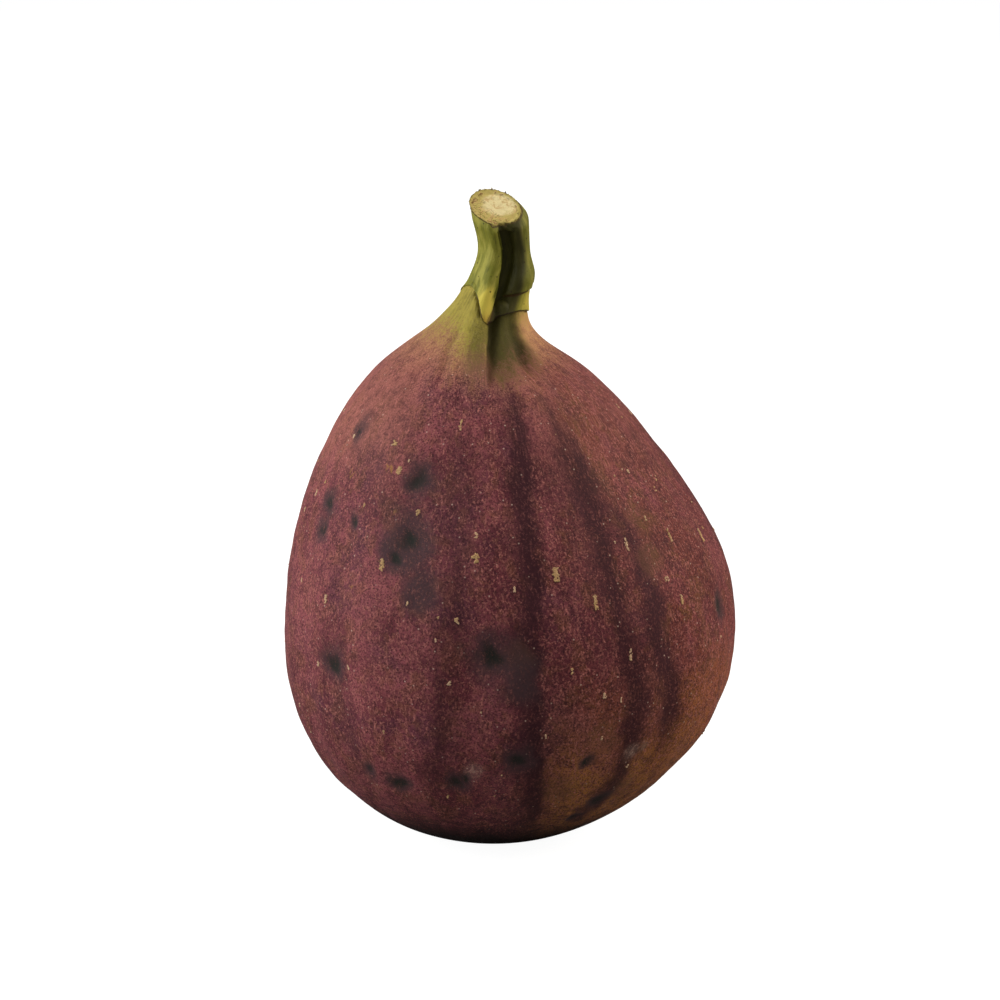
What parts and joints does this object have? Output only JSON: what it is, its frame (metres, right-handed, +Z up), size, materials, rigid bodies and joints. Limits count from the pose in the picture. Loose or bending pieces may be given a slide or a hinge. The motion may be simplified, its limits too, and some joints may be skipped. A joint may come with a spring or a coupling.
{
  "type": "fresh fig",
  "caption": "Fresh purple-red fig, drop-shaped with soft ribs and a folded green neck, a furrowed cut stem and a scaled eye under its flat foot.",
  "frame": {"origin": "on the surface that the fig stands on, under the middle of its box", "axes": "+Z up through the stem, -Y towards the side with the stem's deep furrow, +X to the right of it"},
  "size_m": [0.0504, 0.0493, 0.0727],
  "materials": {
    "fruit_skin": "matte",
    "stem_skin": "satin",
    "eye_scale": "matte"
  },
  "bodies": {
    "root": {"fruit": "fruit_skin", "stem": "stem_skin", "eye_scales": "eye_scale"}
  },
  "joints": []
}
